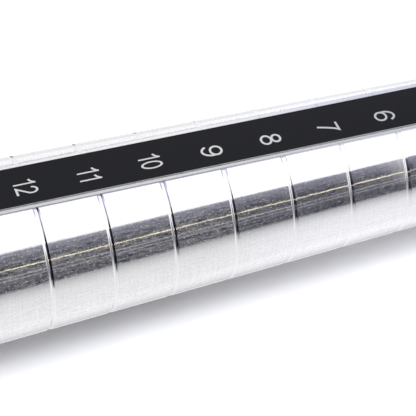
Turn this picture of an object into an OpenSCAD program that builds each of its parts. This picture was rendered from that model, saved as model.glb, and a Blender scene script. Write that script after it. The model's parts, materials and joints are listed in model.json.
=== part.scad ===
// Ring mandrel: a graduated aluminium taper with an inset scale strip, on a turned grip.
// It is modelled at rest, lying on the ground plane with the thin end towards +X
// and the scale strip upwards. Stations along the axis are counted from the nose face.

/* [Size scale] */
// First size on the scale
first_size = 1; // [1:1:10]
// Last size on the scale
last_size = 30; // [20:1:30]
// Diameter of the first size
first_size_d = 13; // [12:0.1:16]
// Growth in diameter from one size to the next
size_step_d = 0.33333; // [0.3:0.00001:0.35]
// Distance along the axis from one size to the next
size_pitch = 6; // [5:0.5:8]

/* [Taper] */
// Plain length between the nose face and the first size
nose_plain = 12; // [6:1:20]
// Plain length between the last size and the shoulder
shoulder_plain = 12; // [6:1:20]
// Radius that rounds the nose edge
nose_round = 1.5; // [0.5:0.1:2]
// Width of a size groove at the surface
groove_w = 0.48; // [0.3:0.02:0.8]
// Depth of a size groove
groove_depth = 0.14; // [0.1:0.02:0.4]
// Bevel on the shoulder edge
shoulder_bevel = 0.3; // [0.1:0.1:0.8]

/* [Scale strip] */
// Width of the channel that the strip lies in
channel_w = 5.9; // [5.6:0.1:6.4]
// Depth of the channel below the crown of the taper
channel_depth = 0.7; // [0.68:0.02:0.9]
// Width of the scale strip
strip_w = 4.9; // [4.4:0.1:5.2]
// Thickness of the scale strip
strip_t = 0.1; // [0.08:0.01:0.12]
// Plain strip beyond the first and the last size
strip_margin = 5; // [3:0.5:8]
// Radius of the strip's corners
strip_corner = 0.6; // [0.5:0.1:1.2]
// Thickness of the adhesive tape under the strip
tape_t = 0.04; // [0.03:0.01:0.06]
// How far the tape's edge stays back from the strip's edge
tape_inset = 0.15; // [0.1:0.05:0.4]

/* [Handle] */
// Diameter of the spigot that enters the handle
spigot_d = 12; // [10:0.5:14]
// Length of the spigot
spigot_len = 26; // [22:1:30]
// Length of the ferrule
ferrule_len = 16; // [15:1:20]
// Outside diameter of the ferrule
ferrule_d = 24; // [24:0.5:26]
// Thickness of the ferrule's skirt and front wall
ferrule_wall = 2; // [1.5:0.5:2.5]
// Bevel on the front edge of the ferrule
ferrule_bevel = 0.4; // [0.2:0.1:0.8]
// Length of the grip behind the ferrule
grip_len = 66; // [65:1:80]
// How far the swell of the grip stands out past the ferrule
grip_swell = 1.85; // [1.8:0.05:2.6]
// Depth of the waist between the ferrule and the swell
grip_waist = 1.2; // [0.6:0.1:1.4]
// Bevel that rounds the back edge of the grip
grip_bevel = 0.8; // [0.4:0.1:1.2]
// Diameter of the end cap
cap_d = 22; // [20:0.5:23]
// Thickness of the end cap's flange
cap_t = 3; // [2:0.5:4]
// Radius that rounds the cap's edge
cap_round = 1; // [0.5:0.1:1.5]

/* [Draw screw] */
// Nominal diameter of the screw's thread
screw_d = 6; // [6:1:6]
// Length of the screw under its head
screw_len = 60; // [60:1:60]
// Diameter of the screw's head
screw_head_d = 10; // [10:0.5:10.5]
// Height of the screw's head
screw_head_h = 6; // [6:0.5:6.5]
// Width across flats of the hexagon socket
socket_af = 5; // [5:1:5]
// Depth of the hexagon socket
socket_depth = 3; // [2.5:0.5:3.5]
// Outside diameter of the washer
washer_d = 12; // [12:0.5:13]
// Hole of the washer
washer_hole = 6.4; // [6.4:0.1:6.6]
// Thickness of the washer
washer_t = 1.6; // [1.6:0.1:1.8]
// Diameter of the counterbore behind the screw's head
counterbore_d = 16; // [14:0.5:17]
// Length of the cap's plug in the counterbore
plug_len = 5; // [3:0.5:5]

/* [Hidden] */

$fn = 96;
// Overrun of a cutter past the solid that it cuts
over = 5;
// Radial clearance of one piece inside another
slip = 0.05;
// Radial clearance of the screw and the washer inside the grip
screw_room = 0.25;
// Bevel on the ends of spigots, plugs and screws
lead_in = 0.5;
// How far behind the shoulder the threaded hole ends
hole_stop = 6;
// Gap between the screw's tip and the end of the threaded hole
screw_gap = 1.6;
// Half the point angle of the drill that makes the threaded hole
drill_half_angle = 59;
// Steps in a rounded edge
round_steps = 6;
// Steps in the outline of the grip
grip_steps = 44;

// The taper: its radius at a distance u behind the nose face, and where each size lies
taper_slope = size_step_d / 2 / size_pitch;
taper_angle = atan(taper_slope);
function taper_r(u) = first_size_d / 2 + (u - nose_plain) * taper_slope;
function size_u(n) = nose_plain + (n - first_size) * size_pitch;

// Stations along the axis, counted from the nose face
shoulder_u = size_u(last_size) + shoulder_plain;
spigot_end_u = shoulder_u + spigot_len;
thread_bottom_u = shoulder_u + hole_stop;
grip_front_u = shoulder_u + ferrule_wall;
ferrule_end_u = shoulder_u + ferrule_len;
grip_end_u = ferrule_end_u + grip_len;
butt_u = grip_end_u + cap_t;
head_u = thread_bottom_u + screw_gap + screw_len;
washer_u = head_u - washer_t;

// Radii of the turned pieces
ferrule_r = ferrule_d / 2;
spigot_r = spigot_d / 2;
tenon_r = ferrule_r - ferrule_wall;
thread_r = screw_d / 2;
cap_r = cap_d / 2;
plug_r = counterbore_d / 2 - slip;
function grip_r(t) = ferrule_r - grip_waist * sin(360 * t) * (1 - t)
    + grip_swell * pow(sin(180 * t), 2);

// A rounded edge about [r, u], from angle a1 to angle a2, as outline points [r, u]
function rounded(r, u, radius, a1, a2) = [for (i = [0:round_steps])
    let (a = a1 + (a2 - a1) * i / round_steps)
    [r + radius * cos(a), u + radius * sin(a)]];

// The lean at rest: the mandrel lies on its nose and on what stands out most behind it
nose_r = taper_r(nose_round) - nose_round;
grip_outline = [for (i = [0:grip_steps])
    let (t = i / grip_steps)
    [grip_r(t), ferrule_end_u + t * (grip_len - grip_bevel)]];
function lean_on(p) = atan2(p[0] - nose_r, p[1] - nose_round)
    - asin(nose_round / norm([p[0] - nose_r, p[1] - nose_round]));
thick_end = [[taper_r(shoulder_u), shoulder_u], [ferrule_r, shoulder_u]];
lean = max([for (p = concat(thick_end, grip_outline)) lean_on(p)]);
nose_z = nose_r * cos(lean) - nose_round * sin(lean) + nose_round;
nose_reach = nose_round * (1 - cos(lean)) + nose_r * sin(lean);
butt_reach = (butt_u - cap_round) * cos(lean) + (cap_r - cap_round) * sin(lean) + cap_round;
nose_x = (butt_reach - nose_reach) / 2;

// Places a piece drawn upright on its nose, with the strip towards +X, where it lies at rest
module lay_down()
    translate([nose_x, 0, nose_z])
        rotate([0, lean - 90, 0])
            children();

// A turned piece from the outline of its half section, as points [r, u]
module turned(outline)
    rotate_extrude()
        polygon(outline);

// Moves its children to the crown of the taper: +X out of the surface, +Z along the channel
module on_crown()
    translate([taper_r(0), 0, 0])
        rotate([0, taper_angle, 0])
            children();

// A thin strip on the channel's floor, over the whole scale, raised by lift
module channel_strip(width, thickness, lift, inset) {
    start = (size_u(first_size) - strip_margin + inset) / cos(taper_angle);
    end = (size_u(last_size) + strip_margin - inset) / cos(taper_angle);
    corner = strip_corner - inset;
    on_crown()
        translate([lift - channel_depth, 0, 0])
            rotate([0, 90, 0])
                linear_extrude(thickness)
                    union() {
                        translate([-end, corner - width / 2])
                            square([end - start, width - 2 * corner]);
                        translate([corner - end, -width / 2])
                            square([end - start - 2 * corner, width]);
                        for (x = [corner - end, -start - corner])
                            for (y = [corner - width / 2, width / 2 - corner])
                                translate([x, y])
                                    circle(corner);
                    }
}

module taper_body() {
    sizes = [for (n = [first_size:last_size]) size_u(n)];
    grooves = [for (u = sizes)
        for (step = [-1:1])
            let (at = u + step * groove_w / 2)
            [taper_r(at) - (step == 0 ? groove_depth : 0), at]];
    outline = concat(
        [[0, 0]],
        rounded(nose_r, nose_round, nose_round, -90, -taper_angle),
        grooves,
        [
            [taper_r(shoulder_u - shoulder_bevel), shoulder_u - shoulder_bevel],
            [taper_r(shoulder_u) - shoulder_bevel, shoulder_u],
            [spigot_r, shoulder_u],
            [spigot_r, spigot_end_u - lead_in],
            [spigot_r - lead_in, spigot_end_u],
            [thread_r, spigot_end_u],
            [thread_r, thread_bottom_u],
            [0, thread_bottom_u - thread_r / tan(drill_half_angle)],
        ]);
    color("silver")
        lay_down()
            difference() {
                turned(outline);
                on_crown()
                    translate([-channel_depth, -channel_w / 2, -over])
                        cube([channel_depth + over, channel_w, shoulder_u + 2 * over]);
            }
}

module strip_tape() {
    color("ivory")
        lay_down()
            channel_strip(strip_w - 2 * tape_inset, tape_t, 0, tape_inset);
}

module scale_strip() {
    color("#26272b")
        lay_down()
            channel_strip(strip_w, strip_t, tape_t, 0);
}

module ferrule() {
    color("gainsboro")
        lay_down()
            turned([
                [spigot_r + slip, shoulder_u],
                [ferrule_r - ferrule_bevel, shoulder_u],
                [ferrule_r, shoulder_u + ferrule_bevel],
                [ferrule_r, ferrule_end_u],
                [tenon_r, ferrule_end_u],
                [tenon_r, grip_front_u],
                [spigot_r + slip, grip_front_u],
            ]);
}

module grip() {
    outline = concat(
        [
            [spigot_r + slip, grip_front_u],
            [tenon_r - slip, grip_front_u],
            [tenon_r - slip, ferrule_end_u],
        ],
        grip_outline,
        [
            [ferrule_r - grip_bevel, grip_end_u],
            [counterbore_d / 2, grip_end_u],
            [counterbore_d / 2, washer_u],
            [thread_r + screw_room, washer_u],
            [thread_r + screw_room, spigot_end_u + lead_in],
            [spigot_r + slip, spigot_end_u + lead_in],
        ]);
    color("burlywood")
        lay_down()
            turned(outline);
}

module handle_screw() {
    shank_r = thread_r - slip;
    color("dimgray")
        lay_down()
            difference() {
                turned([
                    [0, head_u - screw_len],
                    [shank_r - lead_in, head_u - screw_len],
                    [shank_r, head_u - screw_len + lead_in],
                    [shank_r, head_u],
                    [screw_head_d / 2, head_u],
                    [screw_head_d / 2, head_u + screw_head_h - lead_in],
                    [screw_head_d / 2 - lead_in, head_u + screw_head_h],
                    [0, head_u + screw_head_h],
                ]);
                translate([0, 0, head_u + screw_head_h - socket_depth])
                    cylinder(h = socket_depth + over, d = socket_af / cos(30), $fn = 6);
            }
}

module screw_washer() {
    color("lightgray")
        lay_down()
            turned([
                [washer_hole / 2, washer_u],
                [washer_d / 2, washer_u],
                [washer_d / 2, head_u],
                [washer_hole / 2, head_u],
            ]);
}

module end_cap() {
    color("gainsboro")
        lay_down()
            turned(concat(
                [
                    [0, grip_end_u - plug_len],
                    [plug_r - lead_in, grip_end_u - plug_len],
                    [plug_r, grip_end_u - plug_len + lead_in],
                    [plug_r, grip_end_u],
                    [cap_r, grip_end_u],
                ],
                rounded(cap_r - cap_round, butt_u - cap_round, cap_round, 0, 90),
                [[0, butt_u]]));
}

taper_body();
strip_tape();
scale_strip();
ferrule();
grip();
handle_screw();
screw_washer();
end_cap();
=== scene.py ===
import json
import math

import bmesh
import bpy
from mathutils import Matrix, Quaternion, Vector
from mathutils.geometry import delaunay_2d_cdt, intersect_point_quad_2d

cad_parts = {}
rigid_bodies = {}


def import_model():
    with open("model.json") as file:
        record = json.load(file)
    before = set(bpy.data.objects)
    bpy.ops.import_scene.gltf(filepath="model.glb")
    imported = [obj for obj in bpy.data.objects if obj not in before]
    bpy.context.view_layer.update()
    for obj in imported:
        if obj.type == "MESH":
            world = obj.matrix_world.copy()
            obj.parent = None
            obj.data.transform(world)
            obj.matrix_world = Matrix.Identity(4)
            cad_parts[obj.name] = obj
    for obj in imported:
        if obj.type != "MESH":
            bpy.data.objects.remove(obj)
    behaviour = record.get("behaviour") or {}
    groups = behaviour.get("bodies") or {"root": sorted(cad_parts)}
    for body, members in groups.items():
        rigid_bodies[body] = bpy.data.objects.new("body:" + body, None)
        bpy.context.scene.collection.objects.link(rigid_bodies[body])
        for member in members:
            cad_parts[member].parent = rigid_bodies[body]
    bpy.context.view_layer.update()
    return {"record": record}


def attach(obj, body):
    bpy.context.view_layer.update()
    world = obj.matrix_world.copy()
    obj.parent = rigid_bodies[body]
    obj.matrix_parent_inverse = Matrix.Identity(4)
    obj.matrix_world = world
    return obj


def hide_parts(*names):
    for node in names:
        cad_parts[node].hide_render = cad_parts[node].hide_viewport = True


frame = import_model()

MM = 0.001

# The size scale: inside diameters of rings, and where each size lies on the taper
FIRST_SIZE, LAST_SIZE = 1, 30
FIRST_DIAMETER = 13 * MM
DIAMETER_STEP = MM / 3
SIZE_PITCH = 6 * MM
NOSE_PLAIN = 12 * MM
SHOULDER_PLAIN = 12 * MM
SLOPE = DIAMETER_STEP / 2 / SIZE_PITCH

# The taper's turned and milled features
NOSE_ROUND = 1.5 * MM
GROOVE_WIDTH = 0.48 * MM
GROOVE_DEPTH = 0.14 * MM
GROOVE_EASE = 0.035 * MM
GROOVE_STEPS = 8
CHANNEL_WIDTH = 5.9 * MM
CHANNEL_DEPTH = 0.7 * MM
CHANNEL_EDGE_BREAK = 0.05 * MM
SHOULDER_BEVEL = 0.3 * MM

# The scale strip, on its tape on the channel's floor
STRIP_WIDTH = 4.9 * MM
STRIP_THICKNESS = 0.1 * MM
STRIP_MARGIN = 5 * MM
STRIP_CORNER = 0.6 * MM
STRIP_ROLL = 0.07 * MM
STRIP_SWAY = 0.035 * MM
TAPE_THICKNESS = 0.04 * MM
STRIP_TOP = TAPE_THICKNESS + STRIP_THICKNESS - CHANNEL_DEPTH

# The handle. The spigot's thread stops, and the screw's washer sits, behind the shoulder
SPIGOT_RADIUS = 6 * MM
SPIGOT_LENGTH = 26 * MM
SPIGOT_LEAD = 0.5 * MM
SPIGOT_GAP = 0.5 * MM
THREAD_RADIUS = 3 * MM
THREAD_STOP = 6 * MM
SCREW_ROOM = 0.25 * MM
WASHER_SEAT = 66 * MM
FERRULE_LENGTH = 16 * MM
FERRULE_RADIUS = 12 * MM
FERRULE_WALL = 2 * MM
FERRULE_BEVEL = 0.4 * MM
GRIP_LENGTH = 66 * MM
GRIP_SWELL = 1.846 * MM
GRIP_WAIST = 1.2 * MM
GRIP_BEVEL = 0.8 * MM
CAP_RADIUS = 11 * MM
CAP_ROUND = 1 * MM
CAP_BEVEL = 0.1 * MM
PLUG_RADIUS = 7.95 * MM
PLUG_LENGTH = 5 * MM
PLUG_LEAD = 0.5 * MM
COUNTERBORE_RADIUS = 8 * MM
SLIP = 0.05 * MM

# The mandrel's own axes: from the nose to the butt, across, and out of the crown
mounts = {mount["name"]: mount for mount in frame["record"]["mounts"]}
nose = Vector(mounts["nose_face"]["pos_m"])
butt = Vector(mounts["butt_face"]["pos_m"])
along = (butt - nose).normalized()
across = Vector((0, 1, 0))
outward = across.cross(along)
lie = Matrix((outward, across, along)).transposed().to_4x4()
lie.translation = nose


def size_at(size):
    """How far behind the nose face a size's groove lies."""
    return NOSE_PLAIN + (size - FIRST_SIZE) * SIZE_PITCH


def taper_radius(u):
    """Radius of the taper at a distance u behind the nose face."""
    return FIRST_DIAMETER / 2 + (u - NOSE_PLAIN) * SLOPE


def sway(u):
    """How far the strip, which was laid by hand, wanders sideways in its channel."""
    turn = 2 * math.pi * (u - size_at(6.5)) / (12 * SIZE_PITCH)
    return -STRIP_SWAY * (1 + math.cos(turn))


# The channel's own axes: out of the crown, across, and along the channel
taper_angle = math.atan(SLOPE)
crown = (lie @ Matrix.Translation((taper_radius(0), 0, 0))
         @ Matrix.Rotation(taper_angle, 4, "Y"))

SHOULDER = size_at(LAST_SIZE) + SHOULDER_PLAIN
FERRULE_END = SHOULDER + FERRULE_LENGTH
GRIP_END = FERRULE_END + GRIP_LENGTH
BUTT = (butt - nose).length


# ---------------------------------------------------------------- node formulas


def plug(tree, value, socket):
    """Feeds a socket from a wire, another socket or a plain value."""
    if isinstance(value, Wire):
        value = value.socket
    if isinstance(value, bpy.types.NodeSocket):
        tree.links.new(value, socket)
    else:
        socket.default_value = value


class Wire:
    """A node's number output that can be used in a formula."""

    def __init__(self, tree, socket):
        self.tree = tree
        self.socket = socket

    def do(self, operation, *others, first=None):
        node = self.tree.nodes.new("ShaderNodeMath")
        node.operation = operation
        values = (self, *others) if first is None else (first, self)
        for value, socket in zip(values, node.inputs):
            plug(self.tree, value, socket)
        return Wire(self.tree, node.outputs[0])

    def __add__(self, other):
        return self.do("ADD", other)

    def __radd__(self, other):
        return self.do("ADD", other)

    def __sub__(self, other):
        return self.do("SUBTRACT", other)

    def __rsub__(self, other):
        return self.do("SUBTRACT", first=other)

    def __mul__(self, other):
        return self.do("MULTIPLY", other)

    def __rmul__(self, other):
        return self.do("MULTIPLY", other)

    def __truediv__(self, other):
        return self.do("DIVIDE", other)

    def least(self, other):
        return self.do("MINIMUM", other)

    def most(self, other):
        return self.do("MAXIMUM", other)


def add_node(tree, kind, **inputs):
    """Adds a node, feeding its inputs by name, with _ standing for a space."""
    node = tree.nodes.new(kind)
    for name, value in inputs.items():
        plug(tree, value, node.inputs[name.replace("_", " ")])
    return node


# ---------------------------------------------------------------- turned pieces

# Steps across half the channel's floor, the radius that the maps unroll at, and how near
# two corners lie that are one
FLOOR_STEPS = 4
UV_RADIUS = 9.5 * MM
WELD = 0.0008 * MM


def turning_tree():
    """Turns an outline into a solid, with a flat-bottomed channel milled along its crown.

    The outline's points hold the radius, the distance along the axis and the length
    along the outline. The channel is left out where its floor lies above the surface.
    """
    tree = bpy.data.node_groups.new("turn_outline", "GeometryNodeTree")
    sockets = tree.interface
    sockets.new_socket("Outline", in_out="INPUT", socket_type="NodeSocketGeometry")
    sockets.new_socket("Segments", in_out="INPUT", socket_type="NodeSocketInt")
    for name in ("Channel Half Width", "Floor Height", "Floor Slope", "Edge Break"):
        sockets.new_socket(name, in_out="INPUT", socket_type="NodeSocketFloat")
    sockets.new_socket("Material", in_out="INPUT", socket_type="NodeSocketMaterial")
    sockets.new_socket("Piece", in_out="OUTPUT", socket_type="NodeSocketGeometry")
    given = tree.nodes.new("NodeGroupInput").outputs
    segments = Wire(tree, given["Segments"])
    half_width = Wire(tree, given["Channel Half Width"])
    floor_height = Wire(tree, given["Floor Height"])
    floor_slope = Wire(tree, given["Floor Slope"])
    edge_break = Wire(tree, given["Edge Break"])

    count = add_node(tree, "GeometryNodeAttributeDomainSize", Geometry=given["Outline"])
    stations = Wire(tree, count.outputs["Point Count"])
    grid = add_node(tree, "GeometryNodeMeshGrid", Size_X=1.0, Size_Y=1.0,
                    Vertices_X=stations, Vertices_Y=segments + 1)
    spot = add_node(tree, "ShaderNodeSeparateXYZ",
                    Vector=tree.nodes.new("GeometryNodeInputPosition").outputs[0])
    station = ((Wire(tree, spot.outputs["X"]) + 0.5) * (stations - 1)).do("ROUND")
    step = ((Wire(tree, spot.outputs["Y"]) + 0.5) * segments).do("ROUND")

    sample = tree.nodes.new("GeometryNodeSampleIndex")
    sample.data_type = "FLOAT_VECTOR"
    plug(tree, given["Outline"], sample.inputs["Geometry"])
    plug(tree, tree.nodes.new("GeometryNodeInputPosition").outputs[0], sample.inputs["Value"])
    plug(tree, station, sample.inputs["Index"])
    point = add_node(tree, "ShaderNodeSeparateXYZ", Vector=sample.outputs["Value"])
    radius, u, length = (Wire(tree, point.outputs[axis]) for axis in "XYZ")

    # Steps are counted from the crown, down both sides, to the underside
    down = step.least(segments - step)
    far_side = step.do("GREATER_THAN", segments * 0.5)
    sign = 1 - far_side * 2
    floor = (floor_height + floor_slope * u).least(radius)
    meets = (radius * radius - floor * floor).most(0.0).do("SQRT")
    half = half_width.least(meets)
    brink = (radius * radius - half * half).most(0.0).do("SQRT")
    broken = edge_break.least((brink - floor) * 0.45)
    start = ((half + broken) / radius).do("ARCSINE")
    turn = (down - (FLOOR_STEPS + 2)) / (segments * 0.5 - (FLOOR_STEPS + 2))
    angle = start + (math.pi - start) * turn

    def choose(test, if_false, if_true):
        node = tree.nodes.new("GeometryNodeSwitch")
        node.input_type = "FLOAT"
        for value, socket in zip((test, if_false, if_true), node.inputs):
            plug(tree, value, socket)
        return Wire(tree, node.outputs[0])

    on_wall = down.do("LESS_THAN", FLOOR_STEPS + 1.5)
    on_floor = down.do("LESS_THAN", FLOOR_STEPS + 0.5)
    wide = choose(on_floor, choose(on_wall, radius * angle.do("SINE"), half),
                  half * down / FLOOR_STEPS)
    high = choose(on_floor, choose(on_wall, radius * angle.do("COSINE"), brink - broken), floor)
    bearing = wide.do("ARCTAN2", high)
    around = far_side * (2 * math.pi) + sign * bearing

    place = add_node(tree, "ShaderNodeCombineXYZ", X=high, Y=sign * wide, Z=u)
    uv = add_node(tree, "ShaderNodeCombineXYZ", X=length, Y=around * UV_RADIUS)
    # The map is taken before the points move, because their grid places are read in both
    store = tree.nodes.new("GeometryNodeStoreNamedAttribute")
    store.data_type = "FLOAT2"
    store.domain = "CORNER"
    store.inputs["Name"].default_value = "UVMap"
    plug(tree, uv.outputs[0], store.inputs["Value"])
    plug(tree, grid.outputs["Mesh"], store.inputs["Geometry"])
    moved = add_node(tree, "GeometryNodeSetPosition", Geometry=store.outputs["Geometry"],
                     Position=place.outputs[0])
    merged = add_node(tree, "GeometryNodeMergeByDistance", Geometry=moved.outputs["Geometry"],
                      Distance=WELD)
    real = add_node(tree, "GeometryNodeRealizeInstances", Geometry=merged.outputs["Geometry"])
    coated = add_node(tree, "GeometryNodeSetMaterial", Geometry=real.outputs["Geometry"],
                      Material=given["Material"])
    end = tree.nodes.new("NodeGroupOutput")
    tree.links.new(coated.outputs["Geometry"], end.inputs["Piece"])
    return tree


def add_object(name, mesh):
    piece = bpy.data.objects.new(name, mesh)
    bpy.context.scene.collection.objects.link(piece)
    return piece


def turned(name, outline, material, tree, segments=96, sharp=35, **channel):
    """A piece turned from (radius, u) points, laid on the mandrel's axis."""
    lengths = [0.0]
    for before, after in zip(outline, outline[1:]):
        lengths.append(lengths[-1] + math.dist(before, after))
    points = [(r, u, s) for (r, u), s in zip(outline, lengths)]
    mesh = bpy.data.meshes.new(name)
    mesh.from_pydata(points, [(i, i + 1) for i in range(len(points) - 1)], [])
    piece = add_object(name, mesh)
    modifier = piece.modifiers.new("turning", "NODES")
    modifier.node_group = tree
    values = {"Segments": segments, "Material": material, **channel}
    for item in tree.interface.items_tree:
        if item.in_out == "INPUT" and item.name in values:
            modifier[item.identifier] = values[item.name]
    depsgraph = bpy.context.evaluated_depsgraph_get()
    solid = bpy.data.meshes.new_from_object(piece.evaluated_get(depsgraph), depsgraph=depsgraph)
    solid.name = name
    piece.modifiers.remove(modifier)
    piece.data = solid
    bpy.data.meshes.remove(mesh)
    solid.transform(lie)
    shell = bmesh.new()
    shell.from_mesh(solid)
    bmesh.ops.recalc_face_normals(shell, faces=shell.faces)
    shell.to_mesh(solid)
    shell.free()
    solid.shade_smooth()
    solid.set_sharp_from_angle(angle=math.radians(sharp))
    return piece


def arc(r, u, radius, start, end, steps=8):
    """Points on a rounded edge about (r, u), between two angles in degrees."""
    turns = [math.radians(start + (end - start) * i / steps) for i in range(steps + 1)]
    return [(r + radius * math.cos(turn), u + radius * math.sin(turn)) for turn in turns]


def groove_depth(offset):
    """Depth of a size groove at an offset from its middle, with eased corners."""
    half = GROOVE_WIDTH / 2
    inside = half - math.hypot(offset, GROOVE_EASE)
    return GROOVE_DEPTH / half * (inside + math.hypot(inside, GROOVE_EASE * 0.6)) / 2


def taper_outline():
    """The taper from its nose over every size groove to its spigot and tapped hole."""
    slope_angle = math.degrees(math.atan(SLOPE))
    nose_radius = taper_radius(NOSE_ROUND) - NOSE_ROUND
    points = [(0, 0), (nose_radius * 0.5, 0)]
    points += arc(nose_radius, NOSE_ROUND, NOSE_ROUND, -90, -slope_angle, 12)
    reach = 0.62 * GROOVE_WIDTH
    for size in range(FIRST_SIZE, LAST_SIZE + 1):
        for step in range(-GROOVE_STEPS, GROOVE_STEPS + 1):
            u = size_at(size) + reach * step / GROOVE_STEPS
            points.append((taper_radius(u) - groove_depth(u - size_at(size)), u))
    edge = taper_radius(SHOULDER)
    spigot_end = SHOULDER + SPIGOT_LENGTH
    thread_bottom = SHOULDER + THREAD_STOP
    points += [
        (taper_radius(SHOULDER - SHOULDER_BEVEL), SHOULDER - SHOULDER_BEVEL),
        (edge - SHOULDER_BEVEL, SHOULDER),
        (SPIGOT_RADIUS, SHOULDER),
        (SPIGOT_RADIUS, spigot_end - SPIGOT_LEAD),
        (SPIGOT_RADIUS - SPIGOT_LEAD, spigot_end),
        (THREAD_RADIUS, spigot_end),
        (THREAD_RADIUS, thread_bottom),
        (0, thread_bottom - THREAD_RADIUS * 0.6),
    ]
    return points


def ferrule_outline():
    """A turned cup: its front wall sits on the spigot and its skirt on the grip's tenon."""
    burnish = FERRULE_BEVEL / 4
    bore = SPIGOT_RADIUS + SLIP
    tenon = FERRULE_RADIUS - FERRULE_WALL
    front = SHOULDER + FERRULE_WALL
    return [
        (bore, SHOULDER),
        *arc(FERRULE_RADIUS - FERRULE_BEVEL, SHOULDER + FERRULE_BEVEL, FERRULE_BEVEL, -90, 0),
        *arc(FERRULE_RADIUS - burnish, FERRULE_END - burnish, burnish, 0, 90, 4),
        (tenon, FERRULE_END),
        (tenon, front),
        (bore, front),
        (bore, SHOULDER),
    ]


def grip_radius(t):
    """Radius of the grip at a fraction t of its length: a waist and then a swell."""
    turn = math.pi * t
    return (FERRULE_RADIUS - GRIP_WAIST * math.sin(2 * turn) * (1 - t)
            + GRIP_SWELL * math.sin(turn) ** 2)


def grip_outline():
    """The grip with its tenon, the bore for the spigot, the screw's hole and its counterbore."""
    tenon = FERRULE_RADIUS - FERRULE_WALL - SLIP
    bore = SPIGOT_RADIUS + SLIP
    screw_hole = THREAD_RADIUS + SCREW_ROOM
    seat = SHOULDER + WASHER_SEAT
    steps = 66
    side = [(grip_radius(i / steps), FERRULE_END + i / steps * (GRIP_LENGTH - GRIP_BEVEL))
            for i in range(steps + 1)]
    back = arc(FERRULE_RADIUS - GRIP_BEVEL, GRIP_END - GRIP_BEVEL, GRIP_BEVEL, 0, 90)
    end = SHOULDER + SPIGOT_LENGTH + SPIGOT_GAP
    return [
        (bore, SHOULDER + FERRULE_WALL),
        (tenon, SHOULDER + FERRULE_WALL),
        (tenon, FERRULE_END),
        *side,
        *back[1:],
        (COUNTERBORE_RADIUS, GRIP_END),
        (COUNTERBORE_RADIUS, seat),
        (screw_hole, seat),
        (screw_hole, end),
        (bore, end),
        (bore, SHOULDER + FERRULE_WALL),
    ]


def cap_outline():
    """The end cap: a plug for the counterbore under a rounded head."""
    plug_end = GRIP_END - PLUG_LENGTH
    return [
        (0, plug_end),
        (PLUG_RADIUS - PLUG_LEAD, plug_end),
        (PLUG_RADIUS, plug_end + PLUG_LEAD),
        (PLUG_RADIUS, GRIP_END),
        (CAP_RADIUS - CAP_BEVEL, GRIP_END),
        (CAP_RADIUS, GRIP_END + CAP_BEVEL),
        *arc(CAP_RADIUS - CAP_ROUND, BUTT - CAP_ROUND, CAP_ROUND, 0, 90),
        (CAP_RADIUS * 0.5, BUTT),
        (0, BUTT),
    ]


# ---------------------------------------------------------------- materials


def new_material(name):
    material = bpy.data.materials.new(name)
    material.use_nodes = True
    tree = material.node_tree
    shader = tree.nodes["Principled BSDF"]
    return material, tree, shader


def stretched_noise(tree, source, scale, detail=2.0, roughness=0.5, place=(0, 0, 0)):
    """Noise whose cells are 1/scale long along each axis of the source."""
    mapping = tree.nodes.new("ShaderNodeMapping")
    plug(tree, source, mapping.inputs["Vector"])
    mapping.inputs["Scale"].default_value = scale
    mapping.inputs["Location"].default_value = place
    noise = add_node(tree, "ShaderNodeTexNoise", Vector=mapping.outputs[0], Scale=1.0,
                     Detail=detail, Roughness=roughness)
    return Wire(tree, noise.outputs[0])


def spread(wire, low, high, out_low, out_high):
    """Maps a range of a wire onto another range, and holds it there."""
    node = wire.tree.nodes.new("ShaderNodeMapRange")
    for value, socket in zip((wire, low, high, out_low, out_high), node.inputs):
        plug(wire.tree, value, socket)
    return Wire(wire.tree, node.outputs[0])


def rise(wire, low, high):
    """0 below a range of a wire and 1 above it."""
    return spread(wire, low, high, 0.0, 1.0)


def fall(wire, low, high):
    """1 below a range of a wire and 0 above it."""
    return spread(wire, low, high, 1.0, 0.0)


def blend_colours(tree, factor, first, second):
    """Blends two colours, each of them given as numbers or as a socket."""
    node = tree.nodes.new("ShaderNodeMix")
    node.data_type = "RGBA"
    plug(tree, factor, node.inputs["Factor"])
    sockets = [socket for socket in node.inputs if socket.type == "RGBA"]
    for colour, socket in zip((first, second), sockets):
        plug(tree, (*colour, 1) if isinstance(colour, tuple) else colour, socket)
    return next(socket for socket in node.outputs if socket.type == "RGBA")


def add_bump(tree, shader, height, strength, distance):
    bump = add_node(tree, "ShaderNodeBump", Strength=strength, Distance=distance, Height=height)
    plug(tree, bump.outputs[0], shader.inputs["Normal"])


# Aluminium between its turning marks and on them, as turned and where it is rubbed clear
METAL_TONES = ((0.855, 0.855, 0.87), (0.905, 0.905, 0.92))
CLEAR_TONES = ((0.90, 0.90, 0.935), (0.952, 0.952, 0.985))

# The channel's floor with a painted highlight on its far side and painted shade on its near side,
# plain and darker and bluer towards the nose
FAR_FLOOR_HIGHLIGHT = ((1.0, 1.0, 1.0), (0.80, 0.82, 0.94))
NEAR_FLOOR_SHADE = ((0.76, 0.77, 0.755), (0.70, 0.72, 0.76))

# Painted shade along the channel's edges and on the grooves' lips, and the fine line of painted
# dark reflection in a groove
PAINTED_EDGE_SHADE = (0.24, 0.24, 0.33)
GROOVE_REFLECTION_LINE = (0.36, 0.33, 0.50)
GROOVE_REFLECTION_OFF = 0.13 * MM


def dot_with(tree, source, direction):
    """How far a vector reaches in a direction."""
    node = tree.nodes.new("ShaderNodeVectorMath")
    node.operation = "DOT_PRODUCT"
    plug(tree, source, node.inputs[0])
    node.inputs[1].default_value = direction
    return Wire(tree, node.outputs["Value"])


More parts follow.
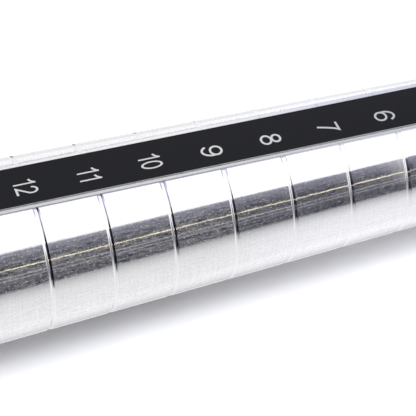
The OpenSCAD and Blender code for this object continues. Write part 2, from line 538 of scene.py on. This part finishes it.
def mark_scale(tree, around, tone, colour, dull, rough):
    """The scale's marks on the taper, and painted light, on top of its turned finish.

    It has a milled channel, with a painted highlight and painted shade on its floor and painted
    shade along its edges, and grooves that were cut last, so they have none of the haze, with
    painted shade on their lips where they cross the channel's near edge and a fine line of painted
    dark reflection in them.
    """
    place = tree.nodes.new("ShaderNodeTexCoord").outputs["Object"]
    spot = add_node(tree, "ShaderNodeSeparateXYZ", Vector=place)
    across_it = Wire(tree, spot.outputs["Y"])
    aside = across_it.do("ABSOLUTE")
    near_side = across_it.do("LESS_THAN", 0.0)
    on_top = around.do("COSINE").do("GREATER_THAN", 0.5)
    edge = CHANNEL_WIDTH / 2
    u = dot_with(tree, place, along) - nose.dot(along)
    size = (u - size_at(FIRST_SIZE)) / SIZE_PITCH + FIRST_SIZE
    milled = aside.do("LESS_THAN", edge - 0.02 * MM) * u.do("GREATER_THAN", 0.05 * MM) * on_top
    # The slender end is brighter and clearer than the rest
    clear = fall(size, 7.5, 9.5)
    colour = blend_colours(tree, clear, colour, blend_colours(tree, tone, *CLEAR_TONES))
    dull = dull * (1 - clear * 0.40)
    # The channel's floor has a painted highlight on its far side and painted shade on its near
    # side, and turns darker and a little blue towards the nose
    noseward = fall(size, 6.5, 9.5)
    floor = blend_colours(tree, fall(across_it, STRIP_WIDTH / -2, STRIP_WIDTH / 2),
                          blend_colours(tree, noseward, *FAR_FLOOR_HIGHLIGHT),
                          blend_colours(tree, noseward, *NEAR_FLOOR_SHADE))
    colour = blend_colours(tree, milled, colour, floor)
    # Painted shade along the channel's edges, darker on the near side and fading towards the nose
    edge_shade = fall((aside - edge - 0.04 * MM).do("ABSOLUTE"), 0.09 * MM, 0.16 * MM) * on_top
    edge_shade = edge_shade * (near_side * 0.85 + 0.1) * (1 - noseward * 0.45)
    colour = blend_colours(tree, edge_shade, colour, PAINTED_EDGE_SHADE)
    # Each groove has a tick of painted shade on both lips, beside the channel
    off = (size - size.do("ROUND").most(FIRST_SIZE).least(LAST_SIZE)) * SIZE_PITCH
    out = off.do("ABSOLUTE")
    beside = rise(aside, edge - 0.04 * MM, edge + 0.06 * MM) * near_side * on_top
    lip = fall((out - GROOVE_WIDTH / 2).do("ABSOLUTE"), 0.04 * MM, 0.09 * MM)
    tick = lip * beside * fall(aside, edge + 0.5 * MM, edge + 1.0 * MM) * (1 - noseward * 0.5)
    colour = blend_colours(tree, tick * 0.75, colour, PAINTED_EDGE_SHADE)
    # A fine violet line of painted dark reflection on the nose side of the grooves from size 9 up
    line = fall((off + GROOVE_REFLECTION_OFF).do("ABSOLUTE"), 0.04 * MM, 0.09 * MM)
    line = line * beside * fall(aside, edge + 1.5 * MM, edge + 2.3 * MM) * rise(size, 8.4, 9.8)
    colour = blend_colours(tree, line, colour, GROOVE_REFLECTION_LINE)
    cut = fall(out, GROOVE_WIDTH * 0.42, GROOVE_WIDTH * 0.52)
    return colour, dull * (1 - cut) + milled * 0.10, rough + milled * 0.22


def turned_aluminium(name, roughness, haze, scale=False):
    """Aluminium turned round its axis and rubbed along it.

    The scratches that are too fine to draw scatter a little light, which is the haze.
    """
    material, tree, shader = new_material(name)
    uv = tree.nodes.new("ShaderNodeUVMap")
    uv.uv_map = "UVMap"
    source = uv.outputs[0]
    marks = stretched_noise(tree, source, (5500, 130, 1), 2, 0.6)
    lines = stretched_noise(tree, source, (120, 5000, 1), 2, 0.6, (3, 7, 0))
    grain = stretched_noise(tree, source, (2100, 3300, 1), 2, 0.5, (11, 2, 0))
    rubs = stretched_noise(tree, source, (800, 4200, 1), 2, 0.5, (1, 4, 0))
    cloud = stretched_noise(tree, source, (350, 900, 1), 2, 0.6, (5, 9, 0))
    drift = stretched_noise(tree, source, (60, 1500, 1), 1, 0.5, (8, 6, 0))
    speck = rise(stretched_noise(tree, source, (3600, 5200, 1), 0, 0.5), 0.64, 0.74)
    scratch = fall((drift - 0.5).do("ABSOLUTE"), 0.004, 0.03)
    tone = rise(marks, 0.35, 0.65)
    colour = blend_colours(tree, tone, *METAL_TONES)
    dull = spread(grain * 0.3 + rubs * 0.35 + lines * 0.2 + cloud * 0.15, 0.38, 0.62,
                  haze * 0.1, haze * 2.1)
    dull = dull + scratch * rubs * (haze * 1.3) + speck * (haze * 1.8)
    rough = spread(marks * 0.5 + grain * 0.5, 0.35, 0.65, roughness * 0.8, roughness * 1.3)
    if scale:
        turn = add_node(tree, "ShaderNodeSeparateXYZ", Vector=source)
        around = Wire(tree, turn.outputs["Y"]) / UV_RADIUS
        colour, dull, rough = mark_scale(tree, around, tone, colour, dull, rough)
    shader.inputs["Anisotropic"].default_value = 0.85
    tangent = tree.nodes.new("ShaderNodeTangent")
    tangent.direction_type = "UV_MAP"
    tangent.uv_map = "UVMap"
    plug(tree, tangent.outputs[0], shader.inputs["Tangent"])
    plug(tree, colour, shader.inputs["Base Color"])
    plug(tree, 1.0 - dull, shader.inputs["Metallic"])
    plug(tree, rough, shader.inputs["Roughness"])
    height = lines * 0.5 + grain * 0.8 + marks * 0.3
    add_bump(tree, shader, height, 1.0, 0.0016 * MM)
    return material


def black_anodised():
    """Satin black anodised sheet with a faint grain, bare where its edge was sheared."""
    material, tree, shader = new_material("black_anodised_strip")
    source = tree.nodes.new("ShaderNodeTexCoord").outputs["Object"]
    grain = stretched_noise(tree, source, (700, 5000, 5000), 3, 0.6)
    dust = stretched_noise(tree, source, (1200, 1200, 1200), 2, 0.5, (5, 2, 8))
    normal = tree.nodes.new("ShaderNodeNewGeometry").outputs["Normal"]
    bare = fall(dot_with(tree, normal, outward), 0.55, 0.95)
    black = blend_colours(tree, grain, (0.0065, 0.007, 0.0105), (0.0095, 0.010, 0.0140))
    plug(tree, blend_colours(tree, bare, black, (0.80, 0.80, 0.82)), shader.inputs["Base Color"])
    plug(tree, bare * 0.95, shader.inputs["Metallic"])
    plug(tree, spread(grain * 0.6 + dust * 0.4, 0.3, 0.7, 0.36, 0.5), shader.inputs["Roughness"])
    shader.inputs["Specular IOR Level"].default_value = 0.14
    add_bump(tree, shader, grain, 0.15, 0.005 * MM)
    return material


def tape_film():
    """Pale pressure-sensitive film, seen only at its cut edge."""
    material, tree, shader = new_material("tape_film")
    source = tree.nodes.new("ShaderNodeTexCoord").outputs["Object"]
    fibre = stretched_noise(tree, source, (2500, 2500, 2500), 2, 0.5)
    plug(tree, blend_colours(tree, fibre, (0.62, 0.60, 0.52), (0.74, 0.72, 0.66)),
         shader.inputs["Base Color"])
    plug(tree, spread(fibre, 0.3, 0.7, 0.5, 0.7), shader.inputs["Roughness"])
    add_bump(tree, shader, fibre, 0.2, 0.01 * MM)
    return material


# Where the ink fades towards the nose
INK_FADES = (85 * MM, 97 * MM)


def white_ink():
    """Printed white ink, a little uneven, and faded towards the nose."""
    material, tree, shader = new_material("white_ink")
    source = tree.nodes.new("ShaderNodeTexCoord").outputs["Object"]
    patch = stretched_noise(tree, source, (6000, 6000, 6000), 3, 0.6)
    spot = add_node(tree, "ShaderNodeSeparateXYZ", Vector=source)
    faded = rise(Wire(tree, spot.outputs["X"]), *INK_FADES)
    fresh = blend_colours(tree, patch, (0.61, 0.61, 0.62), (0.79, 0.79, 0.79))
    worn = blend_colours(tree, patch, (0.48, 0.48, 0.54), (0.63, 0.63, 0.70))
    plug(tree, blend_colours(tree, faded, fresh, worn), shader.inputs["Base Color"])
    plug(tree, spread(patch, 0.3, 0.7, 0.45, 0.65), shader.inputs["Roughness"])
    add_bump(tree, shader, patch, 0.2, 0.004 * MM)
    return material


# Where the tree's pith lay beside the grip, across and up, and its rings' spacing
PITH = (14 * MM, -22 * MM)
RING_SPACING = 2.6 * MM


def oiled_beech():
    """Turned beech: straight pinkish-brown grain with short dark flecks."""
    material, tree, shader = new_material("oiled_beech")
    mapping = tree.nodes.new("ShaderNodeMapping")
    plug(tree, tree.nodes.new("ShaderNodeTexCoord").outputs["Object"], mapping.inputs["Vector"])
    mapping.inputs["Rotation"].default_value = (0.1, math.asin(along.z), 0.0)
    source = mapping.outputs[0]
    wander = stretched_noise(tree, source, (22, 90, 90), 3, 0.5)
    spot = add_node(tree, "ShaderNodeSeparateXYZ", Vector=source)
    aside = Wire(tree, spot.outputs["Y"]) - PITH[0]
    above = Wire(tree, spot.outputs["Z"]) - PITH[1]
    ring = (aside * aside + above * above).do("SQRT") / RING_SPACING + wander * 1.6
    years = fall(ring.do("FRACT"), 0.25, 0.95)
    fibre = stretched_noise(tree, source, (120, 3200, 3200), 3, 0.6)
    fleck = stretched_noise(tree, source, (330, 2600, 2600), 1, 0.5, (9, 4, 2))
    pore = rise(fleck, 0.60, 0.68)
    tone = rise(years * 0.5 + fibre * 0.5, 0.15, 0.8)
    base = blend_colours(tree, tone, (0.36, 0.18, 0.08), (0.62, 0.39, 0.215))
    plug(tree, blend_colours(tree, pore * 0.6, base, (0.20, 0.09, 0.035)),
         shader.inputs["Base Color"])
    plug(tree, spread(fibre + pore * 0.4, 0.3, 0.9, 0.36, 0.55), shader.inputs["Roughness"])
    shader.inputs["Coat Weight"].default_value = 0.15
    shader.inputs["Coat Roughness"].default_value = 0.3
    add_bump(tree, shader, fibre * 0.5 - pore, 0.35, 0.05 * MM)
    return material


def worked_steel(name, dark, light, roughness):
    """Steel fastener finish with fine machining marks and small stains."""
    material, tree, shader = new_material(name)
    source = tree.nodes.new("ShaderNodeTexCoord").outputs["Object"]
    marks = stretched_noise(tree, source, (5000, 900, 900), 3, 0.6)
    stain = stretched_noise(tree, source, (600, 600, 600), 3, 0.6, (2, 5, 1))
    shader.inputs["Metallic"].default_value = 1.0
    plug(tree, blend_colours(tree, marks * 0.5 + stain * 0.5, dark, light),
         shader.inputs["Base Color"])
    plug(tree, spread(stain, 0.3, 0.7, roughness * 0.8, roughness * 1.3),
         shader.inputs["Roughness"])
    add_bump(tree, shader, marks, 0.2, 0.01 * MM)
    return material


# ---------------------------------------------------------------- printed numerals

# Where the numbers are printed, with the wave, in sizes, that they drift in; the ink; and
# the pen's width as a part of the height
NUMERAL_HEIGHT = 2.1 * MM
NUMERAL_SHIFT = 0.2 * MM
NUMERAL_RIGHT = 1.28 * MM
NUMERAL_DRIFT = 0.16 * MM
DRIFT_MIDDLE = 8.8
DRIFT_WAVE = 24
INK_THICKNESS = 0.012 * MM
STROKE = 0.102
CONDENSED = 0.74

# How far a digit reaches left and right of its middle, and the gap between two digits
DIGIT_REACH = (0.33, 0.33)
ONE_REACH = (0.34, 0.21)
DIGIT_GAP = 0.07


def bow(x, y, rx, ry, start, end, steps=20):
    """Points on an elliptic stretch of a stroke, by its outer radii."""
    rx, ry = rx - STROKE / 2, ry - STROKE / 2
    turns = [math.radians(start + (end - start) * i / steps) for i in range(steps + 1)]
    return [(x + rx * math.cos(turn), y + ry * math.sin(turn)) for turn in turns]


def digit_strokes():
    """The pen strokes of each digit, one unit high."""
    low = STROKE / 2
    top = 1 - low
    six = [bow(0, 0.31, 0.31, 0.31, -200, 20), bow(0, 0.31, 0.31, 0.31, -10, 210),
           bow(0.04, 0.5, 0.35, 0.5, 30, 190)]
    nine = [[(-x, 1 - y) for x, y in stroke] for stroke in six]
    return {
        "0": [bow(0, 0.5, 0.31, 0.5, -10, 185), bow(0, 0.5, 0.31, 0.5, 175, 370)],
        "1": [[(0.05, 0), (0.05, 1)], [(0.05, 0.985), (0.0, 0.895), (-0.08, 0.81),
                                       (-0.17, 0.76), (-0.265, 0.735)]],
        "2": [bow(0, 0.69, 0.29, 0.31, 172, -28) + [(-0.245, low), (0.3, low)]],
        "3": [bow(-0.02, 0.74, 0.27, 0.26, 150, -90), bow(-0.02, 0.29, 0.31, 0.29, 90, -155)],
        "4": [[(0.12, 0), (0.12, top), (-0.27, 0.27), (0.3, 0.27)]],
        "5": [[(0.24, top), (-0.2, top), (-0.245, 0.5)] + bow(-0.02, 0.32, 0.31, 0.32, 120, -152)],
        "6": six,
        "7": [[(-0.26, top), (0.25, top)] + [(0.25 - 0.38 * t ** 0.72, top - top * t)
                                            for t in (0.15, 0.3, 0.5, 0.7, 0.85, 1)]],
        "8": [bow(0, 0.28, 0.31, 0.28, -10, 190), bow(0, 0.28, 0.31, 0.28, 170, 370),
              bow(0, 0.755, 0.27, 0.245, -10, 190), bow(0, 0.755, 0.27, 0.245, 170, 370)],
        "9": nine,
    }


def pen_edges(stroke):
    """Both edges of a stroke: its points moved half a pen's width to either side."""
    left, right = [], []
    last = len(stroke) - 1
    for i, here in enumerate(stroke):
        here = Vector(here)
        ways = []
        if i > 0:
            ways.append((here - Vector(stroke[i - 1])).normalized())
        if i < last:
            ways.append((Vector(stroke[i + 1]) - here).normalized())
        way = sum(ways, Vector((0, 0))).normalized()
        out = Vector((-way.y, way.x)) * (STROKE / 2 / max(way.dot(ways[0]), 0.35))
        left.append(here + out)
        right.append(here - out)
    return left, right


def digit_faces(strokes):
    """Joins a digit's strokes into one flat shape, as points and triangles."""
    points, outlines, inked = [], [], []
    for stroke in strokes:
        left, right = pen_edges(stroke)
        outlines.append(list(range(len(points), len(points) + 2 * len(left))))
        points += left + right[::-1]
        inked += zip(left, left[1:], right[1:], right)
    places, _, triangles, _, _, _ = delaunay_2d_cdt(points, [], outlines, 0, 1e-5)

    def is_inked(triangle):
        middle = sum((places[i] for i in triangle), Vector((0, 0))) / 3
        return any(intersect_point_quad_2d(middle, *quad) for quad in inked)

    return places, [triangle for triangle in triangles if is_inked(triangle)]


def print_drift(size):
    """How far the printed numbers run ahead of the turned grooves and behind them."""
    return -NUMERAL_DRIFT * math.sin(2 * math.pi * (size - DRIFT_MIDDLE) / DRIFT_WAVE)


def add_ink(ink, corners, faces):
    """Gives a flat shape the ink's thickness, building upwards from its corners."""
    used = sorted({i for face in faces for i in face})
    low = {i: ink.verts.new(corners[i]) for i in used}
    high = {i: ink.verts.new(corners[i] + Vector((INK_THICKNESS, 0, 0))) for i in used}
    rim = {}
    for face in faces:
        ink.faces.new([low[i] for i in reversed(face)])
        ink.faces.new([high[i] for i in face])
        for i, j in zip(face, (*face[1:], face[0])):
            if rim.pop((j, i), None) is None:
                rim[i, j] = True
    for i, j in rim:
        ink.faces.new((low[i], low[j], high[j], high[i]))


def numeral_mesh():
    """Every size's number, printed on the strip and read across it."""
    shapes = {digit: digit_faces(strokes) for digit, strokes in digit_strokes().items()}
    ink = bmesh.new()
    for size in range(FIRST_SIZE, LAST_SIZE + 1):
        text = str(size)
        unit = NUMERAL_HEIGHT * (CONDENSED if len(text) > 1 else 1)
        spots, pen = [], 0.0
        for digit in reversed(text):
            left, right = ONE_REACH if digit == "1" else DIGIT_REACH
            spots.append((digit, pen - right * unit))
            pen -= (left + right + DIGIT_GAP) * unit
        middle_line = size_at(size) + NUMERAL_SHIFT + print_drift(size)
        middle_line /= math.cos(taper_angle)
        aside = sway(size_at(size)) - NUMERAL_RIGHT
        for digit, middle in spots:
            points, faces = shapes[digit]
            corners = [Vector((STRIP_TOP, aside - middle - x * unit,
                               middle_line - (y - 0.5) * NUMERAL_HEIGHT)) for x, y in points]
            add_ink(ink, corners, faces)
    bmesh.ops.recalc_face_normals(ink, faces=ink.faces)
    mesh = bpy.data.meshes.new("size_numerals")
    ink.to_mesh(mesh)
    ink.free()
    mesh.transform(crown)
    return mesh


# ---------------------------------------------------------------- the strip


def strip_ring(inset, steps=60):
    """The strip's rounded outline, drawn in from its edge by an inset, as (across, along)."""
    start = (size_at(FIRST_SIZE) - STRIP_MARGIN) / math.cos(taper_angle) + STRIP_CORNER
    end = (size_at(LAST_SIZE) + STRIP_MARGIN) / math.cos(taper_angle) - STRIP_CORNER
    radius = STRIP_CORNER - inset
    side = STRIP_WIDTH / 2 - STRIP_CORNER
    stations = [start + (end - start) * i / steps for i in range(1, steps)]
    ring = arc(side, end, radius, 0, 90) + arc(-side, end, radius, 90, 180)
    ring += [(-side - radius, u) for u in reversed(stations)]
    ring += arc(-side, start, radius, 180, 270) + arc(side, start, radius, 270, 360)
    ring += [(side + radius, u) for u in stations]
    return [(aside + sway(u), u) for aside, u in ring]


def strip_mesh(roll_steps=5):
    """A thin sheet strip whose top edge is rolled over by the shears."""
    shell = bmesh.new()
    turns = [math.pi / 2 * i / roll_steps for i in range(roll_steps + 1)]
    levels = [(0, STRIP_TOP - STRIP_THICKNESS)]
    levels += [(STRIP_ROLL * (1 - math.cos(turn)), STRIP_TOP - STRIP_ROLL * (1 - math.sin(turn)))
               for turn in turns]
    rings = [[shell.verts.new((high, aside, u)) for aside, u in strip_ring(inset)]
             for inset, high in levels]
    shell.faces.new(rings[0])
    shell.faces.new(rings[-1])
    for low, top in zip(rings, rings[1:]):
        for i in range(len(low)):
            j = (i + 1) % len(low)
            shell.faces.new((low[i], low[j], top[j], top[i]))
    bmesh.ops.recalc_face_normals(shell, faces=shell.faces)
    mesh = bpy.data.meshes.new("sheared_strip")
    shell.to_mesh(mesh)
    shell.free()
    mesh.transform(crown)
    mesh.shade_smooth()
    mesh.set_sharp_from_angle(angle=math.radians(40))
    return mesh


# ---------------------------------------------------------------- the pieces


def settle(piece, node=None):
    """Puts a piece on the mandrel's body, in place of its plain solid if it has one."""
    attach(piece, "root")
    if node:
        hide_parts(node)


def finish_node(node, material):
    """Gives a solid that keeps its shape its real finish."""
    for piece in bpy.data.objects:
        if piece.type == "MESH" and piece.name == node:
            piece.data.materials.clear()
            piece.data.materials.append(material)


tree = turning_tree()
taper_metal = turned_aluminium("turned_taper_aluminium", 0.075, 0.145, scale=True)
taper = turned("turned_taper", taper_outline(), taper_metal, tree, segments=160, **{
    "Channel Half Width": CHANNEL_WIDTH / 2,
    "Floor Height": taper_radius(0) - CHANNEL_DEPTH / math.cos(taper_angle),
    "Floor Slope": SLOPE,
    "Edge Break": CHANNEL_EDGE_BREAK})
settle(taper, "taper_body")
satin = turned_aluminium("satin_aluminium", 0.24, 0.16)
ferrule = turned("turned_ferrule", ferrule_outline(), satin, tree, segments=128)
settle(ferrule, "ferrule")
handle = turned("turned_grip", grip_outline(), oiled_beech(), tree, segments=128)
settle(handle, "grip")
cap = turned("turned_end_cap", cap_outline(), satin, tree, segments=128)
settle(cap, "end_cap")

strip = add_object("sheared_strip", strip_mesh())
strip.data.materials.append(black_anodised())
settle(strip, "scale_strip")
numerals = add_object("size_numerals", numeral_mesh())
numerals.data.materials.append(white_ink())
settle(numerals)

finish_node("strip_tape", tape_film())
black_steel = worked_steel("black_steel", (0.05, 0.05, 0.055), (0.11, 0.11, 0.12), 0.4)
finish_node("handle_screw", black_steel)
zinc_steel = worked_steel("zinc_steel", (0.50, 0.51, 0.53), (0.66, 0.67, 0.69), 0.35)
finish_node("screw_washer", zinc_steel)


# ---------------------------------------------------------------- studio

# What metal sees round the mandrel's length, as angles from the front horizon, up over
# the top to 180 at the back horizon and down below the table to -180, with grey levels.
# In front lie the sheet on the table, the dark room and the softbox overhead.
METAL_SEES = (
    (-180, 1.07), (-171, 1.07), (-167, 0.90), (-161, 0.86), (-153, 0.96), (-145, 1.02),
    (-138, 0.92), (-126, 1.10), (-118, 0.88), (-110, 0.67), (-101, 0.79), (-93, 0.915),
    (-84, 1.01), (-76, 1.06), (-60, 0.98), (-43, 0.95), (-26, 0.85), (-18, 0.68),
    (-10.5, 0.41), (-7, 0.02), (7, 0.05), (24, 0.015), (32, 0.09), (41.6, 0.23), (42.5, 1.35),
    (95, 1.35), (115, 1.17), (147, 1.08), (149, 0.16), (165, 0.22), (168, 1.07), (180, 1.07))

# The same to the west and to the far east, where dark flags stand behind the table
WEST_SEES = (
    (-180, 1.0), (-167, 0.97), (-158, 0.42), (-148, 0.34), (-135, 0.50), (-118, 0.78),
    (-100, 0.86), (-76, 1.0), (-43, 0.93), (-26, 0.82), (-18, 0.66), (-10.5, 0.38), (-7, 0.02),
    (7, 0.05), (24, 0.015), (41.6, 0.20), (42.8, 1.35), (88, 1.35), (110, 0.80), (126, 0.55),
    (131, 0.10), (148, 0.03), (155, 0.06), (158, 0.98), (165, 1.0), (180, 1.0))

# The light that falls on matt surfaces from the same angles: most of it comes from the
# softbox, and little from low in front
MATT_LIGHT = (
    (-180, 0.50), (43, 0.50), (50, 0.30), (58, 0.42), (66, 0.95), (75, 1.6), (85, 1.4),
    (100, 1.1), (150, 1.0), (165, 0.5), (180, 0.5))

# The thin warm edge of light in the dark room and the two faint ones under it, as their
# angle, half their width in degrees, and colour
THIN_LIGHTS = ((20.5, 0.5, (1.7, 1.5, 1.02)), (11.0, 0.5, (0.48, 0.45, 0.41)),
               (6.5, 0.5, (0.36, 0.34, 0.34)))

# The room past the nose, below and above, and the dark past the butt and under the table
EAST_BELOW = (0.93, 0.93, 0.93)
EAST_ABOVE = (1.2, 1.2, 1.2)
EAST_GREY = (0.28, 0.28, 0.28)
WEST_DARK = (0.005, 0.004, 0.009)
UNDER_TABLE = (0.05, 0.05, 0.05)

# The table as other surfaces see it, as the camera does, and with a painted pool of light where
# the metal would light it
TABLE_REACH = 3.0
TABLE_MATT = (0.9, 0.9, 0.9)
TABLE_WHITE = (2.14, 2.15, 2.23)
TABLE_LIT = (3.04, 3.05, 3.17)
LIT_ALONG = (74 * MM, 98 * MM)
LIT_BEFORE = (-5.8 * MM, -3.6 * MM)


def studio_floor():
    """A wide white table top that keeps the mandrel's shadow."""
    reach = TABLE_REACH
    mesh = bpy.data.meshes.new("table_top")
    corners = [(-reach, -reach, 0), (reach, -reach, 0), (reach, reach, 0), (-reach, reach, 0)]
    mesh.from_pydata(corners, [], [(0, 1, 2, 3)])
    table = add_object("table_top", mesh)
    table.visible_glossy = False
    material = bpy.data.materials.new("white_table")
    material.use_nodes = True
    nodes = material.node_tree
    nodes.nodes.clear()
    seen = nodes.nodes.new("ShaderNodeLightPath").outputs["Is Camera Ray"]
    # A painted pool of light on the table beside the thin end, standing in for light the metal
    # throws there
    spot = add_node(nodes, "ShaderNodeSeparateXYZ",
                    Vector=nodes.nodes.new("ShaderNodeTexCoord").outputs["Object"])
    glow = (rise(Wire(nodes, spot.outputs["X"]), *LIT_ALONG)
            * rise(Wire(nodes, spot.outputs["Y"]), *LIT_BEFORE))
    bright = blend_colours(nodes, glow, TABLE_WHITE, TABLE_LIT)
    plain = add_node(nodes, "ShaderNodeBsdfDiffuse",
                     Color=blend_colours(nodes, seen, TABLE_MATT, bright))
    end = nodes.nodes.new("ShaderNodeOutputMaterial")
    nodes.links.new(plain.outputs[0], end.inputs["Surface"])
    mesh.materials.append(material)


def studio_world():
    """A white room, in which metal sees a softbox, dark bands and the sheet on the table."""
    world = bpy.data.worlds.new("studio")
    bpy.context.scene.world = world
    world.use_nodes = True
    tree = world.node_tree
    way = add_node(tree, "ShaderNodeSeparateXYZ",
                   Vector=tree.nodes.new("ShaderNodeTexCoord").outputs["Generated"])
    x, y, z = (Wire(tree, way.outputs[axis]) for axis in "XYZ")
    turn = z.do("ARCTAN2", y * -1.0) / (2 * math.pi) + 0.5

    def levels(light):
        ramp = tree.nodes.new("ShaderNodeValToRGB")
        plug(tree, turn, ramp.inputs[0])
        stops = ramp.color_ramp.elements
        while len(stops) < len(light):
            stops.new(0.5)
        for stop, (angle, level) in zip(stops, light):
            stop.position = angle / 360 + 0.5
            blue = level * 1.25 + 0.012 if level < 0.25 else level * 1.01
            stop.color = (level, level, blue, 1)
        return ramp.outputs[0]

    # Directions in the room are unit vectors: x past the nose, y behind the table, z up
    west_half = fall(x, 0.04, 0.12)
    behind = rise(y, 0.28, 0.36)
    east_end = rise(x, 0.50, 0.56) * behind
    seen = blend_colours(tree, west_half + east_end, levels(METAL_SEES), levels(WEST_SEES))
    for angle, half, colour in THIN_LIGHTS:
        off = (turn - (angle / 360 + 0.5)).do("ABSOLUTE")
        seen = blend_colours(tree, fall(off, half * 0.6 / 360, half / 360), seen, colour)
    # Past the nose the room is light, and a little darker at the height of the mandrel
    east = rise(x, 0.47, 0.55) * (1 - behind)
    grey = rise(z, -0.42, -0.22) * fall(z, 0.0, 0.12)
    plain = blend_colours(tree, rise(z, -0.2, 0.2), EAST_BELOW, EAST_ABOVE)
    seen = blend_colours(tree, east, seen, blend_colours(tree, grey, plain, EAST_GREY))
    # Past the butt it is dark, and a dark flag hangs over the butt
    west = fall(x, -0.58, -0.46) * fall(y, -0.25, -0.02)
    level = fall(z, 0.58, 0.80) * rise(z, -0.38, -0.28)
    flag = (fall(x, -0.56, -0.46) * rise(y, -0.03, 0.02) * fall(y, 0.30, 0.34)
            * z.do("GREATER_THAN", 0.5))
    seen = blend_colours(tree, west * level + flag, seen, WEST_DARK)
    # The table lights no metal above its own shadow: it is hidden from mirrored rays
    path = tree.nodes.new("ShaderNodeLightPath")
    below = z.do("LESS_THAN", 0.0) * Wire(tree, path.outputs["Diffuse Depth"]).least(1.0)
    seen = blend_colours(tree, below, seen, UNDER_TABLE)
    plain = blend_colours(tree, path.outputs["Is Camera Ray"], levels(MATT_LIGHT), (1.0, 1.0, 1.0))
    back = tree.nodes["Background"]
    plug(tree, blend_colours(tree, path.outputs["Is Glossy Ray"], plain, seen),
         back.inputs["Color"])
    back.inputs["Strength"].default_value = 1.0


def studio_camera():
    """A long lens on the scale about size 9, from in front and above."""
    azimuth, elevation, roll = (math.radians(angle) for angle in (-22.625, 46.47, 2.198))
    distance = 162.25 * MM
    lens = 145.56
    aim = Vector((0.094 * MM, -0.699 * MM, 0))
    backward = Vector((math.sin(azimuth) * math.cos(elevation),
                       -math.cos(azimuth) * math.cos(elevation), math.sin(elevation)))
    turn = (-backward).to_track_quat("-Z", "Y") @ Quaternion((0, 0, 1), roll)
    target = nose + along * size_at(9) + turn @ aim
    camera = bpy.data.objects.new("camera", bpy.data.cameras.new("camera"))
    bpy.context.scene.collection.objects.link(camera)
    camera.data.lens = lens
    camera.data.sensor_width = 36
    camera.data.clip_start = 0.01
    camera.location = target + backward * distance
    camera.rotation_mode = "QUATERNION"
    camera.rotation_quaternion = turn
    bpy.context.scene.camera = camera


studio_floor()
studio_world()
studio_camera()
bpy.context.scene.view_settings.view_transform = "Standard"
